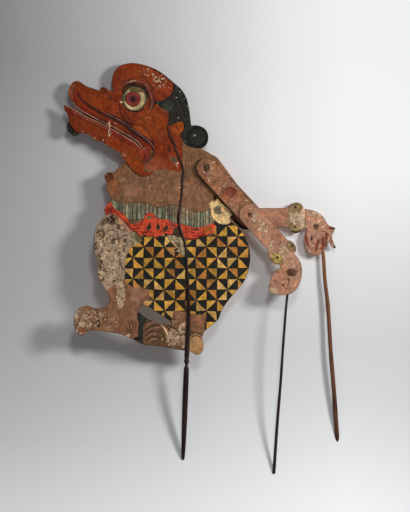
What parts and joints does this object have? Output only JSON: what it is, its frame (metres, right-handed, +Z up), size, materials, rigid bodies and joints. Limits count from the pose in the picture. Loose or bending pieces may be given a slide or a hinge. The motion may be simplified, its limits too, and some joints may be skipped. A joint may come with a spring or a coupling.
{
  "type": "shadow puppet",
  "caption": "Flat jointed shadow puppet of painted rawhide, with a hinged jaw, jointed arms moved by hand rods, and a split control rod that clamps the figure.",
  "frame": {"origin": "pointed foot of the control rod, where it is stuck into a stand", "axes": "+Z up along the figure, +X towards the figure's back and its hands, -Y out of the painted front"},
  "size_m": [0.4023, 0.0271, 0.5998],
  "materials": {
    "painted_hide": "worn matt paint on rawhide",
    "painted_jaw": "worn matt paint on rawhide",
    "dark_tuft": "matt black paint on rawhide",
    "control_rod": "dark, polished by handling",
    "front_rod": "near black, polished",
    "rear_rod": "brown, polished",
    "thong": "twisted rawhide thong",
    "thread": "dark cotton thread"
  },
  "bodies": {
    "figure": {"body_sheet": "painted_hide", "control_rod": "control_rod", "shoulder_thong": "thong", "jaw_pin": "thong", "rod_lashing_1": "thread", "rod_lashing_2": "thread", "rod_lashing_3": "thread", "rod_lashing_4": "thread", "rod_lashing_5": "thread", "rod_lashing_6": "thread", "rod_lashing_7": "thread"},
    "jaw": {"lower_jaw": "painted_jaw", "chin_tuft": "dark_tuft"},
    "front_upper": {"front_upper_arm": "painted_hide", "front_elbow_thong": "thong"},
    "front_fore": {"front_forearm": "painted_hide", "front_hand_tie": "thong"},
    "front_rod": {"front_hand_rod": "front_rod"},
    "rear_upper": {"rear_upper_arm": "painted_hide", "rear_elbow_thong": "thong"},
    "rear_fore": {"rear_forearm": "painted_hide", "rear_hand_tie": "thong"},
    "rear_rod": {"rear_hand_rod": "rear_rod"}
  },
  "joints": [
    {"name": "jaw_hinge", "type": "hinge", "parent": "figure", "child": "jaw", "pos_m": [-0.054, 0, 0.443], "axis": [0, -1, 0], "range_deg": [-4, 14]},
    {"name": "front_shoulder", "type": "hinge", "parent": "figure", "child": "front_upper", "pos_m": [0.0352, 0, 0.4244], "axis": [0, -1, 0], "range_deg": [-130, 150]},
    {"name": "front_elbow", "type": "hinge", "parent": "front_upper", "child": "front_fore", "pos_m": [0.09735, 0, 0.35752], "axis": [0, -1, 0], "range_deg": [-125, 125]},
    {"name": "front_rod_swing", "type": "hinge", "parent": "front_fore", "child": "front_rod", "pos_m": [0.15809, 0, 0.27347], "axis": [0, -1, 0], "range_deg": [-65, 85]},
    {"name": "rear_shoulder", "type": "hinge", "parent": "figure", "child": "rear_upper", "pos_m": [0.0352, 0, 0.4244], "axis": [0, -1, 0], "range_deg": [-130, 150]},
    {"name": "rear_elbow", "type": "hinge", "parent": "rear_upper", "child": "rear_fore", "pos_m": [0.09228, 0, 0.35315], "axis": [0, -1, 0], "range_deg": [-125, 74]},
    {"name": "rear_rod_swing", "type": "hinge", "parent": "rear_fore", "child": "rear_rod", "pos_m": [0.19428, 0, 0.34015], "axis": [0, -1, 0], "range_deg": [-85, 120]}
  ]
}
